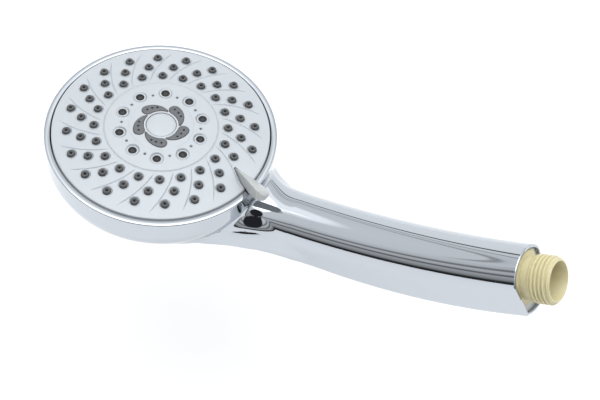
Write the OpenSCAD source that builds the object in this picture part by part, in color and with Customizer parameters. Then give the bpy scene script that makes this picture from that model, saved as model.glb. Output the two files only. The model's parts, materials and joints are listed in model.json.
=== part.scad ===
// Handheld shower head with a turning spray selector.
// Modelled about the spray face: +Z is the face normal, +X runs from the head to the inlet.
// The row origin is the centre of the inlet thread's open end.

/* [Head] */

// outer radius of the head's rim, mm
head_radius = 52.4; // [52:0.1:52.8]
// depth of the head's back below the spray face, mm
head_depth = 36; // [35.5:0.5:37]
// radius of the spray face's dome, mm
dome_radius = 266; // [250:2:290]

/* [Handle] */

// radius of the handle's bend, mm
bend_radius = 430; // [425:1:435]
// tilt of the inlet end against the spray face, degrees
end_tilt = 27; // [26.8:0.1:27.2]
// radius of the rounded side of the handle, mm
arch_r = 14; // [13.9:0.1:14.1]
// wall thickness of the shell, mm
wall = 2.5; // [2.2:0.1:2.6]

/* [Spray face] */

// radius of a rubber nozzle, mm
nozzle_r = 1.8; // [1.6:0.05:1.8]
// height of a rubber nozzle above the face, mm
nozzle_rise = 1.2; // [0.8:0.1:1.6]
// radius of the water hole in a nozzle, mm
nozzle_hole_r = 0.5; // [0.4:0.05:0.7]

/* [Selector] */

// angle between two click positions, degrees
click_angle = 10; // [9.5:0.5:10]

/* [Inlet] */

// outside radius of the hose thread, mm
thread_r = 10.4775; // [10.4775]
// thread pitch, mm
thread_pitch = 1.814; // [1.814]

/* [Hidden] */

chrome = [0.80, 0.83, 0.87];
silver = [0.78, 0.79, 0.81];
cream = [0.93, 0.87, 0.60];
rubber = [0.30, 0.31, 0.32];
steel = [0.70, 0.70, 0.72];
white_plastic = [0.88, 0.88, 0.86];

$fn = 64;
cut = 1;        // how far a cutting tool runs past a face
small_fn = 24;
hair = 0.05;    // gap between two pieces that touch

// ---- handle spine: an arc in the XZ plane, from the handle's end towards the head ----
end_x = 178.7;
end_z = 14.3;
taper_length = 127;     // arc length over which the handle's section tapers
neck_start = 112;       // arc length at which the neck's top begins to rise
neck_length = 26;       // arc length of the rise, up to the head's rim
belly_start = 130;      // arc length at which the belly lifts towards the head's back
belly_length = 25;
loft_end = 160;

function spine_angle(s) = end_tilt - s / bend_radius * 180 / PI;
function spine_x(s) = end_x - bend_radius * (sin(end_tilt) - sin(spine_angle(s)));
function spine_z(s) = end_z - bend_radius * (cos(spine_angle(s)) - cos(end_tilt));
function clamp01(t) = min(1, max(0, t));
function taper(s) = clamp01(s / taper_length);
function neck(s) = clamp01((s - neck_start) / neck_length);
function belly(s) = clamp01((s - belly_start) / belly_length);

// section sizes along the spine
ridge_rise = 10.5;      // how far the neck's top rises to the rim
ridge_power = 2.3;
ridge_half = 11;        // half the distance between the neck's two ridges
trough_depth = 4;       // depth of the scoop between them
belly_lift = 9;
corner_r = 1.5;         // lower edge of the handle
corner_r_neck = 14;     // the same edge at the neck
bulge = 3.5;            // crown of the handle's underside
crease_end = 5.6;       // height of the handle's crease above the spine, at the inlet
crease_drop = 4.4;      // and how far it falls towards the head
side_draft = 1.8;       // the base is narrower than the crease by this much on each side
depth_end = 13.1;       // depth of the handle's end below the spine
deepening = 8.6;        // the handle first deepens towards the head
thinning = 12;          // and then thins
belly_power = 1.5;
function crease_h(s) = crease_end - crease_drop * taper(s);
function crease_w(s) = sqrt(arch_r * arch_r - pow(crease_h(s), 2));
function top_h(s) = arch_r + ridge_rise * pow(neck(s), ridge_power);
function base_w(s) = crease_w(s) - side_draft;
function base_d(s) =
    depth_end + deepening * taper(s) - thinning * pow(taper(s), 2)
    - belly_lift * pow(belly(s), belly_power);
function base_r(s) = corner_r + (corner_r_neck - corner_r) * neck(s);

arch_steps = 12;
corner_steps = 3;
base_steps = 6;
least_r = 0.5;          // smallest corner that a section keeps

// top contour: an arc on the handle, blending to an oval with a trough at the neck
function arc_r(w, rise) = (w * w + rise * rise) / (2 * rise);
function arc_point(t, w, h, top) =
    let (r = arc_r(w, top - h), a = (top - h > w ? 180 - asin(w / r) : asin(w / r)))
    [r * sin(a * t), top - r + r * cos(a * t)];
function neck_point(t, w, h, top, trough) =
    let (y = w * sin(90 * t),
         n = h + (top - h) * max(0, cos(90 * t)),
         q = max(0, 1 - pow(y / ridge_half, 2)))
    [y, n - trough * q * q];
function mix(a, b, m) = a * (1 - m) + b * m;

// closed section, counter-clockwise, in (y, height above the spine); inset shrinks it
function section(s, inset, cap) =
    let (w = crease_w(s) - inset,
         h = crease_h(s) - inset / 2,
         top = min(top_h(s) - inset, cap),
         bw = base_w(s) - inset,
         d = base_d(s) - inset,
         r = max(least_r, min(base_r(s) - inset / 2, d + h - 2 * least_r, bw - 2 * least_r)),
         trough = trough_depth * neck(s))
    concat(
        [for (i = [0:arch_steps])
            let (t = 1 - 2 * i / arch_steps)
            mix(arc_point(t, w, h, top), neck_point(t, w, h, top, trough), neck(s))],
        [for (i = [0:corner_steps])
            let (a = 90 * i / corner_steps)
            [-(bw - r) - r * cos(a), -d + r - r * sin(a)]],
        [for (i = [1:base_steps - 1])
            let (v = 2 * i / base_steps - 1)
            [(bw - r) * v, -d - bulge * (1 - v * v)]],
        [for (i = [0:corner_steps])
            let (a = 90 * i / corner_steps)
            [bw - r + r * sin(a), -d + r - r * cos(a)]]
    );
no_cap = 99;            // higher than any section
section_points = arch_steps + 1 + 2 * (corner_steps + 1) + base_steps - 1;

function stations(from, to, step) = [for (s = [from:step:to + hair / 10]) s];
// half-width at (x, z) of a neck that is b wide and runs into the head's side through a fillet
function fillet_at(z) = mix(fillet_top, fillet_low, clamp01((fillet_from - z) / fillet_blend));
function round_at(x, z) =
    let (own = head_r(z) - tuck)
    max(own, mix(own, fairing_r, clamp01((x - fairing_from) / fairing_blend)));
function neck_w(x, z, b) =
    let (f = fillet_at(z),
         r = max(b, round_at(x, z)),
         yc = b + f,
         xc = sqrt(pow(r + f, 2) - yc * yc),
         touch = xc * r / (r + f))
    x >= xc ? b
    : x <= touch ? sqrt(r * r - x * x)
    : yc - sqrt(f * f - pow(x - xc, 2));
function lofted(list, inset, cap) =
    [for (s = list)
        for (p = section(s, inset, cap))
            let (x = spine_x(s) - p[1] * sin(spine_angle(s)),
                 z = spine_z(s) + p[1] * cos(spine_angle(s)))
            [x, p[0] * neck_w(x, z, crease_w(s)) / crease_w(s), z]];
function loft_faces(rings) =
    concat(
        [for (i = [0:rings - 2])
            for (j = [0:section_points - 1])
                let (a = i * section_points + j,
                     b = i * section_points + (j + 1) % section_points)
                [b, a + section_points, a]],
        [for (i = [0:rings - 2])
            for (j = [0:section_points - 1])
                let (a = i * section_points + j,
                     b = i * section_points + (j + 1) % section_points)
                [b + section_points, a + section_points, b]],
        [[for (j = [section_points - 1:-1:0]) j]],
        [[for (j = [0:section_points - 1]) (rings - 1) * section_points + j]]
    );

module loft(list, inset, cap) {
    polyhedron(points = lofted(list, inset, cap), faces = loft_faces(len(list)), convexity = 6);
}

// places children on the inlet's axis: +Z runs out of the handle's end, from the end plane
module on_inlet() {
    translate([end_x, 0, end_z])
        rotate([0, 90 - end_tilt, 0])
            children();
}

end_bore_r = 12;        // the handle's end opening, flattened at the sides
end_half = 9.9;
inlet_out = 13;     // from the handle's end to the thread's open end
origin = [
    end_x + inlet_out * cos(end_tilt),
    0,
    end_z + inlet_out * sin(end_tilt)
];
module row() {
    translate(-origin)
        children();
}

// ---- head heights, measured from the jet holes on the face ----
dome_top = 0.68;
rim_z = -4.4;
rim_bevel = 0.8;
back_power = 0.7;       // shapes the head's rounded back
function head_r(z) =
    head_radius * pow(cos(asin(clamp01((wall_start - z) / (head_depth + wall_start)))), back_power);
fillet_top = 18;        // fillet where the neck runs into the head's side, near the rim
fillet_low = 80;        // the same fillet at the underside
fillet_from = -16;      // height at which the fillet begins to grow
fillet_blend = 14;      // over this much height
fairing_r = 49.5;       // the underside runs into a round this wide, wider than the back itself
fairing_from = 20;      // nearer the middle than this the underside follows the head's back
fairing_blend = 22;
tuck = 0.7;             // how far the neck's end keeps inside the head's surface
function dome_z(r) = dome_top - r * r / (2 * dome_radius);
plate_r = 49.1;
cup_r = 49.7;
plate_base = -6;
mat_base = -7.5;
chamber_base = -10;
divider_base = -12;
rotor_base = -16;
manifold_top = -16.3;
manifold_base = -20.3;
wall_start = -13;       // the head's side wall becomes the rounded back here

// ---- positions of the water path and the clicks ----
port_r = 24;
detent_r = 21;
screw_circle = 36;
screw_angles = [60, 180, 300];

module head_outer() {
    steps = 14;
    rotate_extrude($fn = 96)
        polygon(concat(
            [[0, rim_z], [head_radius - rim_bevel, rim_z], [head_radius, rim_z - rim_bevel]],
            [for (i = [0:steps])
                let (a = 90 * i / steps)
                [i == steps ? 0 : head_radius * pow(cos(a), back_power),
                 wall_start - (head_depth + wall_start) * sin(a)]]
        ));
}

// inside of the cup, as [radius, height] from the side wall to the middle
cup_inside = [[cup_r, -14], [45, -22.5], [38, -27.5], [30, -30.5], [0, -32.5]];
module cup_cavity() {
    rotate_extrude($fn = 96)
        polygon(concat([[0, rim_z + cut], [cup_r, rim_z + cut]], cup_inside));
}

boss_r = 3.6;
pilot_r = 1.25;
pilot_depth = 5.2;

module body_shell() {
    cavity_cap = 15;    // the handle's cavity rises no higher than this above the spine
    web = 3;            // closes the handle's end
    recess = 1.2;       // the web sits this far inside the end
    thin_wall = 1.3;    // wall left round the recess
    bore_depth = 14;
    far = 60;           // longer than anything in the way
    color(chrome) row() {
        difference() {
            union() {
                head_outer();
                loft(concat(stations(0, 105, 7.5), stations(106.5, loft_end, 3)), 0, no_cap);
            }
            difference() {
                union() {
                    cup_cavity();
                    loft(concat([web], stations(10, 110, 10), stations(115, 150, 5)), wall, cavity_cap);
                }
                for (a = screw_angles)
                    rotate(a)
                        translate([screw_circle, 0, -head_depth])
                            cylinder(r = boss_r, h = head_depth + manifold_base - hair);
            }
            for (a = screw_angles)
                rotate(a)
                    translate([screw_circle, 0, manifold_base - pilot_depth])
                        cylinder(r = pilot_r, h = pilot_depth + cut, $fn = small_fn);
            on_inlet() {
                translate([0, 0, -recess])
                    linear_extrude(recess + cut)
                        rotate(-90)
                            mirror([1, 0])
                                polygon([for (p = section(0, thin_wall, no_cap)) [p[0], -p[1]]]);
                intersection() {
                    translate([0, 0, -bore_depth])
                        cylinder(r = end_bore_r, h = bore_depth + cut);
                    cube([far, 2 * end_half, far], center = true);
                }
            }
        }
    }
}

// ---- inlet tube ----
tube_r = 6;
tube_bore = 4.3;
tail = 12;              // straight length inside the handle, before the bend
front_tilt = 4;         // tilt of the tube where it enters the manifold
front_x = 50;           // where the bend ends
front_length = 8.5;
tail_x = end_x - tail * cos(end_tilt);
tail_z = end_z - tail * sin(end_tilt);
tube_bend = (tail_x - front_x) / (sin(end_tilt) - sin(front_tilt));
front_z = tail_z - tube_bend * (cos(front_tilt) - cos(end_tilt));
flange_r = 11.7;
root_r = 9.3;
mouth_r = 8.35;
mouth_depth = 6;        // how far the wide mouth runs in past the handle's end
neck_back = 9;          // where the tube widens to the inlet, inside the handle

// places children at the bend's front end: +Z runs on towards the manifold
module on_front() {
    translate([front_x, 0, front_z])
        rotate([0, -90 - front_tilt, 0])
            children();
}

// a short collar covers each end of the bend
module tube_path(r, extra, collar) {
    on_front() {
        cylinder(r = r, h = front_length + extra);
        translate([0, 0, -joint_half])
            cylinder(r = r + collar, h = 2 * joint_half);
    }
    translate([front_x - tube_bend * sin(front_tilt), 0, front_z + tube_bend * cos(front_tilt)])
        rotate([90, 0, 0])
            rotate(-90 + front_tilt)
                rotate_extrude(angle = end_tilt - front_tilt, $fn = 180)
                    translate([tube_bend, 0])
                        circle(r = r, $fn = 32);
    on_inlet() {
        translate([0, 0, -tail])
            cylinder(r = r, h = tail);
        translate([0, 0, -tail - joint_half])
            cylinder(r = r + collar, h = 2 * joint_half);
    }
}

oring_at = [4.6, 6.9];
groove_r = 5.1;
groove_half = 0.6;
ring_wire = 0.47;
joint_half = 1.5;       // half the length of the collar over a joint of the tube
joint_rise = 0.6;
joint_rise_bore = 0.3;

module inlet_tube() {
    turns = 6;
    first = 2.2;        // first thread ridge above the handle's end
    crest = 0.2;        // half-widths of a ridge at its crest and its foot
    foot = 0.8;
    sunk = 0.4;         // how far a ridge reaches into the tube under it
    flange_base = -4;
    flange_h = 3.2;
    side_gap = 0.3;     // between the flange's flats and the handle
    far = 60;           // longer than anything in the way
    lip_h = 0.6;        // chamfer of the open end
    lip_r = 0.3;
    lip_back = 1.5;
    color(cream) row() {
        difference() {
            union() {
                tube_path(tube_r, 0, joint_rise);
                on_inlet() {
                    intersection() {
                        translate([0, 0, flange_base])
                            cylinder(r = flange_r, h = flange_h);
                        cube([far, 2 * (end_half - side_gap), far], center = true);
                    }
                    translate([0, 0, -neck_back])
                        cylinder(r = root_r, h = inlet_out + neck_back - lip_h);
                    rotate_extrude()
                        polygon([
                            [mouth_r - lip_r, inlet_out - lip_back], [root_r, inlet_out - lip_back],
                            [root_r, inlet_out - lip_h], [root_r - lip_r, inlet_out],
                            [mouth_r - lip_r, inlet_out]
                        ]);
                    for (i = [0:turns - 1])
                        translate([0, 0, first + i * thread_pitch])
                            rotate_extrude()
                                polygon([
                                    [root_r - sunk, -foot], [root_r, -foot],
                                    [thread_r, -crest], [thread_r, crest],
                                    [root_r, foot], [root_r - sunk, foot]
                                ]);
                }
            }
            tube_path(tube_bore, cut, joint_rise_bore);
            on_inlet()
                translate([0, 0, -mouth_depth])
                    cylinder(r = mouth_r, h = inlet_out + mouth_depth + cut);
            for (t = oring_at)
                on_front()
                    translate([0, 0, t])
                        rotate_extrude()
                            polygon([
                                [groove_r, -groove_half], [tube_r + cut, -groove_half],
                                [tube_r + cut, groove_half], [groove_r, groove_half]
                            ]);
        }
    }
}

module tube_orings() {
    color(rubber) row()
        for (t = oring_at)
            on_front()
                translate([0, 0, t])
                    rotate_extrude()
                        translate([groove_r + ring_wire + hair / 2, 0])
                            circle(r = ring_wire, $fn = small_fn);
}

// ---- manifold, fixed in the cup ----
post_r = 5;
post_top = -11;
socket_r = 7.6;
socket_bore = 6.1;
duct_r = 3.8;
duct_bore = 2.6;
duct_top = -21.5;
pocket_r = 3.4;
pocket_base = -21.5;
ball_r = 2;
detent_pocket_r = 2.1;
detent_floor = -24;

socket_start = 3;       // along the tube's front, from where the bend ends
socket_end = 12;
socket_stop = front_length + 1.5;   // the socket's bore ends just past the tube
duct_at = 9.4;          // where the duct meets the socket
duct_x = front_x - duct_at * cos(front_tilt);
duct_z = front_z - duct_at * sin(front_tilt);
duct_throat = 2;        // between the seal's pocket and the duct
throat_base = -23;
port_boss_r = 5.4;
port_boss_base = -24.5;
post_base = -24;
detent_boss_r = 3.6;
detent_boss_h = 6;
detent_wall = 1.2;
lug_r = 3.4;            // lugs that take the three screws
lug_h = 2.4;
lug_from = 28;
lug_hole_r = 1.5;
disc_r = 31;
sleeve_r = 1.9;         // hole for the centre screw
ring_groove_z = -14;    // o-ring groove on the post
ring_groove_r = 4.2;
ring_groove_half = 0.5;
post_ring_wire = 0.37;
clear = 14;             // length of a hole that leaves through the open side

// leans a cylinder from the port down to the tube's socket
module duct(r) {
    dx = duct_x - port_r;
    dz = duct_top - duct_z;
    translate([port_r, 0, duct_top])
        rotate([0, 180 - atan2(dx, dz), 0])
            cylinder(r = r, h = norm([dx, dz]));
}

module manifold() {
    color(white_plastic) row() {
        difference() {
            union() {
                translate([0, 0, manifold_base])
                    cylinder(r = disc_r, h = manifold_top - manifold_base);
                translate([0, 0, manifold_base])
                    cylinder(r = post_r, h = post_top - manifold_base);
                translate([0, 0, post_base])
                    cylinder(r = post_r, h = manifold_top - post_base);
                for (a = screw_angles)
                    rotate(a) {
                        translate([screw_circle, 0, manifold_base])
                            cylinder(r = lug_r, h = lug_h);
                        translate([lug_from, -lug_r, manifold_base])
                            cube([screw_circle - lug_from, 2 * lug_r, lug_h]);
                    }
                translate([port_r, 0, port_boss_base])
                    cylinder(r = port_boss_r, h = manifold_top - port_boss_base - cut);
                translate([-detent_r, 0, detent_floor - detent_wall])
                    cylinder(r = detent_boss_r, h = detent_boss_h);
                duct(duct_r);
                on_front()
                    translate([0, 0, socket_start])
                        cylinder(r = socket_r, h = socket_end - socket_start);
            }
            translate([port_r, 0, pocket_base])
                cylinder(r = pocket_r, h = clear);
            translate([port_r, 0, throat_base])
                cylinder(r = duct_throat, h = clear);
            duct(duct_bore);
            on_front()
                translate([0, 0, socket_start - cut])
                    cylinder(r = socket_bore, h = socket_stop + cut - socket_start);
            translate([-detent_r, 0, detent_floor])
                cylinder(r = detent_pocket_r, h = clear);
            for (a = screw_angles)
                rotate(a)
                    translate([screw_circle, 0, manifold_base - cut])
                        cylinder(r = lug_hole_r, h = clear, $fn = small_fn);
            translate([0, 0, throat_base])
                cylinder(r = sleeve_r, h = clear, $fn = 32);
            translate([0, 0, ring_groove_z])
                rotate_extrude()
                    polygon([
                        [ring_groove_r, -ring_groove_half], [post_r + cut, -ring_groove_half],
                        [post_r + cut, ring_groove_half], [ring_groove_r, ring_groove_half]
                    ]);
        }
    }
}

module manifold_screws() {
    head_r = 2.6;
    head_h = 1.4;
    thread = 1.15;      // radius of the screw's thread
    reach = 5;          // how far it runs into the shell's boss
    slot = 3;           // length, width and depth of the cross in its head
    slot_w = 0.6;
    slot_d = 0.7;
    head_z = manifold_base + lug_h + hair;
    color(steel) row()
        for (a = screw_angles)
            rotate(a)
                translate([screw_circle, 0, 0])
                    difference() {
                        union() {
                            translate([0, 0, head_z])
                                cylinder(r = head_r, h = head_h);
                            translate([0, 0, manifold_base - reach])
                                cylinder(r = thread, h = head_z - manifold_base + reach + 2 * hair);
                        }
                        for (t = [0, 90])
                            rotate(t)
                                translate([-slot / 2, -slot_w / 2, head_z + head_h - slot_d])
                                    cube([slot, slot_w, slot_d + cut]);
                    }
}

module port_seal() {
    seal_base = -19.5;
    seal_r = 3.2;
    seal_hole = 1.7;
    color(rubber) row()
        translate([port_r, 0, seal_base])
            difference() {
                cylinder(r = seal_r, h = rotor_base - hair - seal_base);
                translate([0, 0, -cut])
                    cylinder(r = seal_hole, h = clear);
            }
}

// round wire wound as a compression spring, standing on z = 0
wire_sides = 8;
function coil_ring(i, rings, r, wire, turns, rise) =
    let (a = 360 * turns * i / (rings - 1))
    [for (j = [0:wire_sides - 1])
        let (b = 360 * j / wire_sides)
        [(r + wire * cos(b)) * cos(a), (r + wire * cos(b)) * sin(a),
         wire + (rise - 2 * wire) * i / (rings - 1) + wire * sin(b)]];
module coil(r, wire, turns, rise) {
    rings_a_turn = 12;
    rings = rings_a_turn * turns + 1;
    n = wire_sides;
    polyhedron(
        points = [for (i = [0:rings - 1]) for (p = coil_ring(i, rings, r, wire, turns, rise)) p],
        faces = concat(
            [for (i = [0:rings - 2]) for (j = [0:n - 1])
                [n * i + j, n * i + (j + 1) % n, n * i + n + j]],
            [for (i = [0:rings - 2]) for (j = [0:n - 1])
                [n * i + (j + 1) % n, n * i + n + (j + 1) % n, n * i + n + j]],
            [[for (j = [n - 1:-1:0]) j]],
            [[for (j = [0:n - 1]) n * (rings - 1) + j]]
        ),
        convexity = 10
    );
}

port_coil_r = 2.65;
port_wire = 0.25;
port_coil_rise = 1.9;
ball_coil_r = 1.2;
ball_wire = 0.2;

module port_spring() {
    color(steel) row()
        translate([port_r, 0, pocket_base + hair])
            coil(port_coil_r, port_wire, 2, port_coil_rise);
}

ball_z = rotor_base - ball_r - hair;
ball_rise = 0.6;

module detent_ball() {
    color(steel) row()
        translate([-detent_r, 0, ball_z])
            sphere(r = ball_r);
}

module detent_spring() {
    color(steel) row()
        translate([-detent_r, 0, detent_floor + hair])
            coil(ball_coil_r, ball_wire, 4, ball_z - ball_r - detent_floor - 2 * hair);
}

module post_oring() {
    color(rubber) row()
        translate([0, 0, ring_groove_z])
            rotate_extrude()
                translate([ring_groove_r + post_ring_wire + hair / 2, 0])
                    circle(r = post_ring_wire, $fn = small_fn);
}

ledge_z = -4;
shank_r = 1.8;
shank_hole_r = 2.3;
washer_h = 0.5;

module centre_screw() {
    head_base = ledge_z + washer_h + 2 * hair;
    screw_head_r = 3.6;
    head_h = 2;
    shank_base = -22.5;
    slot = 4.4;         // length, width and depth of the cross in its head
    slot_w = 0.8;
    slot_d = 1;
    color(steel) row()
        difference() {
            union() {
                translate([0, 0, head_base])
                    cylinder(r = screw_head_r, h = head_h);
                translate([0, 0, shank_base])
                    cylinder(r = shank_r, h = head_base + 2 * hair - shank_base, $fn = 32);
            }
            for (t = [0, 90])
                rotate(t)
                    translate([-slot / 2, -slot_w / 2, head_base + head_h - slot_d])
                        cube([slot, slot_w, slot_d + cut]);
        }
}

module screw_washer() {
    washer_r = 4.2;
    washer_hole_r = 2.1;
    color(steel) row()
        translate([0, 0, ledge_z + hair])
            difference() {
                cylinder(r = washer_r, h = washer_h);
                translate([0, 0, -cut])
                    cylinder(r = washer_hole_r, h = clear, $fn = 32);
            }
}

// ---- turning face ----
sector = 18;
outer_ring_r = 42.3;
mid_ring_r = 36.25;
inner_ring_r = 30.1;
outer_ring_a = -3;
mid_ring_a = 3.9;
inner_ring_a = 11.6;
jet_circle = 19;
jet_a = 7;
mist_circle = 17.8;
mist_a = 25;
pad_a = 0.1;
pad_step = 72;
jet_tube_r = 2.7;

// every nozzle place: [radius, angle]; the lever takes the first place of the outer ring
nozzles = concat(
    [for (k = [1:19]) [outer_ring_r, outer_ring_a + sector * k]],
    [for (k = [0:19]) [mid_ring_r, mid_ring_a + sector * k]],
    [for (k = [0:19]) [inner_ring_r, inner_ring_a + sector * k]]
);

// comma outline: the inner edge follows the cap, the width shrinks from head to tail
pad_inner = 7.9;
pad_head_a = 13;
pad_tail_a = -46;
pad_tip = 0.3;          // half-width at the tail, growth to the head and how it grows
pad_growth = 2.25;
pad_power = 1.4;
function pad_half(a) =
    pad_tip + pad_growth * (1 - pow((pad_head_a - a) / (pad_head_a - pad_tail_a), pad_power));
module pad_shape(grow) {
    steps = 8;
    round_steps = 6;
    r_head = pad_half(pad_head_a);
    c = (pad_inner + r_head) * [cos(pad_head_a), sin(pad_head_a)];
    polygon(concat(
        [for (i = [0:steps])
            let (a = pad_tail_a + (pad_head_a - pad_tail_a) * i / steps,
                 r = pad_inner + 2 * pad_half(a) + grow)
            r * [cos(a), sin(a)]],
        [for (i = [1:round_steps - 1])
            let (b = pad_head_a + 180 * i / round_steps)
            c + (r_head + grow) * [cos(b), sin(b)]],
        [for (i = [steps:-1:0])
            let (a = pad_tail_a + (pad_head_a - pad_tail_a) * i / steps)
            (pad_inner - grow) * [cos(a), sin(a)]]
    ));
}
pad_gap = 0.1;          // round a pad in the face plate
pad_holes = [[10.6, 13.2], [10.3, 0], [10, -13.2]];     // [radius, angle]

// lever: plan outline and side profile along its own centreline
lever_a = -22;
lever_x = 39.6;
lever_y = -2.4;
lever_len = 20;
module lever_frame() {
    translate([lever_x, lever_y, 0])
        rotate(lever_a)
            children();
}
function lever_plan(grow) = [
    [-0.6 - grow, -0.4 - grow], [7, -2.6 - grow], [14, -3.4 - grow], [lever_len, -2.6 - grow],
    [lever_len + 0.8 + grow, 0], [lever_len, 2.6 + grow], [14, 3.2 + grow],
    [7, 2.2 + grow], [-0.6 - grow, 0.4 + grow]
];
lever_foot = plate_base + hair;
lever_under = -3.5;
lever_rest = 48;        // outside this radius the lever's underside rests on the rim's step
lever_far = 80;         // past the lever's outer end
// side profile from the tip over the top to the outer end
lever_side = [
    [-2, lever_foot], [-2, -2.2], [3, 0.6], [8, 2.7], [12, 3.6], [16, 3.6], [18.6, 2.6],
    [20.4, 0.4], [20.8, lever_under], [20.8, lever_foot]
];
lever_tall = 12;        // more than the lever's height and half-width

module selector_lever() {
    color(white_plastic) row()
        intersection() {
            lever_frame()
                translate([0, 0, lever_foot])
                    linear_extrude(lever_tall)
                        polygon(lever_plan(0));
            difference() {
                lever_frame()
                    translate([0, lever_tall, 0])
                        rotate([90, 0, 0])
                            linear_extrude(2 * lever_tall)
                                polygon(lever_side);
                rotate_extrude()
                    polygon([
                        [lever_rest, lever_foot - cut], [lever_far, lever_foot - cut],
                        [lever_far, lever_under], [lever_rest, lever_under]
                    ]);
            }
        }
}

rib_in = 24.8;
rib_out = 27.8;
skirt_in = 46.8;
skirt_base = -12.6;
hub_r = 4.4;
cap_r = 6.7;
screw_ring = 26.2;
plate_screw_a = 10;
ring_gap = 0.1;         // between a rib or skirt and the piece inside it
nozzle_seat_r = 1.95;
mist_r = 0.6;
web_in = 0.5;           // how far the rib runs into the plate

module face_plate() {
    steps = 16;
    hub_h = 5;
    screw_seat_r = 5;
    cap_gap = 0.25;
    cap_seat = -1.2;
    pilot = 0.8;        // radius and depth of the holes for the plate's own screws
    pilot_h = 4;
    color(silver) row()
        difference() {
            union() {
                rotate_extrude($fn = 96)
                    polygon(concat(
                        [[0, plate_base], [skirt_in, plate_base], [skirt_in, skirt_base],
                         [plate_r, skirt_base]],
                        [for (i = [0:steps])
                            let (r = plate_r * (1 - i / steps))
                            [r, dome_z(r)]]
                    ));
                rotate_extrude()
                    polygon([
                        [rib_in, mat_base + hair], [rib_out, mat_base + hair],
                        [rib_out, plate_base + web_in], [rib_in, plate_base + web_in]
                    ]);
                translate([0, 0, chamber_base + hair])
                    cylinder(r = hub_r, h = hub_h);
            }
            for (n = nozzles)
                rotate(n[1])
                    translate([n[0], 0, plate_base - cut])
                        cylinder(r = nozzle_seat_r, h = clear, $fn = small_fn);
            for (k = [0:9])
                rotate(jet_a + 36 * k)
                    translate([jet_circle, 0, plate_base - cut])
                        cylinder(r = jet_tube_r + hair, h = clear, $fn = small_fn);
            for (k = [0:9])
                rotate(mist_a + 36 * k)
                    translate([mist_circle, 0, plate_base - cut])
                        cylinder(r = mist_r, h = clear, $fn = small_fn);
            for (k = [0:4])
                rotate(pad_a + pad_step * k)
                    translate([0, 0, plate_base - cut])
                        linear_extrude(clear)
                            pad_shape(pad_gap);
            translate([0, 0, ledge_z])
                cylinder(r = screw_seat_r, h = clear);
            translate([0, 0, cap_seat])
                cylinder(r = cap_r + cap_gap, h = clear);
            translate([0, 0, chamber_base - cut])
                cylinder(r = shank_hole_r, h = clear, $fn = 32);
            lever_frame()
                translate([0, 0, plate_base - cut])
                    linear_extrude(clear)
                        polygon(lever_plan(pad_gap));
            for (k = [0:4])
                rotate(plate_screw_a + pad_step * k)
                    translate([screw_ring, 0, mat_base - cut])
                        cylinder(r = pilot, h = pilot_h + cut, $fn = small_fn);
        }
}

module nozzle_mat() {
    feed_r = 1.1;       // the wider hole behind each nozzle
    feed_h = 4;
    color(rubber) row()
        difference() {
            union() {
                difference() {
                    translate([0, 0, mat_base + hair])
                        cylinder(r = skirt_in - ring_gap, h = plate_base - mat_base - 2 * hair);
                    translate([0, 0, mat_base - cut])
                        cylinder(r = rib_out + ring_gap, h = clear);
                }
                for (n = nozzles)
                    rotate(n[1])
                        translate([n[0], 0, mat_base + 2 * hair])
                            cylinder(r = nozzle_r, h = dome_z(n[0]) + nozzle_rise - mat_base - 2 * hair,
                                $fn = small_fn);
            }
            for (n = nozzles)
                rotate(n[1])
                    translate([n[0], 0, mat_base - cut]) {
                        cylinder(r = nozzle_hole_r, h = clear, $fn = small_fn);
                        cylinder(r = feed_r, h = feed_h + cut, $fn = small_fn);
                    }
        }
}

module jet_ring() {
    jet_r = 1.9;
    jet_sunk = 0.1;     // below the face
    jet_ring_in = 14.6;
    color(silver) row()
        difference() {
            union() {
                translate([0, 0, mat_base + hair])
                    cylinder(r = rib_in - ring_gap, h = plate_base - mat_base - 2 * hair);
                for (k = [0:9])
                    rotate(jet_a + 36 * k)
                        translate([jet_circle, 0, mat_base + 2 * hair])
                            cylinder(r = jet_tube_r, $fn = small_fn,
                                h = dome_z(jet_circle) - jet_sunk - mat_base - 2 * hair);
            }
            translate([0, 0, mat_base - cut])
                cylinder(r = jet_ring_in, h = clear);
            for (k = [0:9])
                rotate(jet_a + 36 * k)
                    translate([jet_circle, 0, mat_base - cut])
                        cylinder(r = jet_r, h = clear, $fn = small_fn);
            for (k = [0:9])
                rotate(mist_a + 36 * k)
                    translate([mist_circle, 0, mat_base - cut])
                        cylinder(r = mist_r, h = clear, $fn = small_fn);
        }
}

module massage_pads() {
    disc = 14.4;        // radius of the disc that joins the pads
    middle = 5.2;       // and of its hole
    pad_hole_r = 0.45;
    color(rubber) row()
        difference() {
            union() {
                translate([0, 0, mat_base + hair])
                    cylinder(r = disc, h = plate_base - mat_base - 2 * hair);
                for (k = [0:4])
                    rotate(pad_a + pad_step * k)
                        translate([0, 0, mat_base + 2 * hair])
                            linear_extrude(dome_top + 2 * hair - mat_base)
                                pad_shape(-hair);
            }
            translate([0, 0, mat_base - cut])
                cylinder(r = middle, h = clear);
            for (k = [0:4])
                for (p = pad_holes)
                    rotate(pad_a + pad_step * k + p[1])
                        translate([p[0], 0, mat_base - cut])
                            cylinder(r = pad_hole_r, h = clear, $fn = small_fn);
        }
}

module centre_cap() {
    under = -1.1;
    ring_in = 4.3;      // the ring that grips the screw's seat
    ring_out = 4.9;
    ring_foot = -2.6;
    edge_z = 0.45;
    top_z = 0.95;
    bevel = 0.4;
    bevel_z = 0.7;
    color(silver) row()
        rotate_extrude()
            polygon([
                [0, under], [ring_in, under], [ring_in, ring_foot], [ring_out, ring_foot],
                [ring_out, under], [cap_r, under], [cap_r, edge_z], [cap_r - bevel, bevel_z],
                [0, top_z]
            ]);
}

// the three ways through the rotor and the divider: [radius, click]
passages = [[30.2, 0], [20, 1], [10.5, 2]];
passage_r = 1.5;
peg_circle = 18;
peg_r = 1.5;
peg_h = 1.2;

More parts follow.
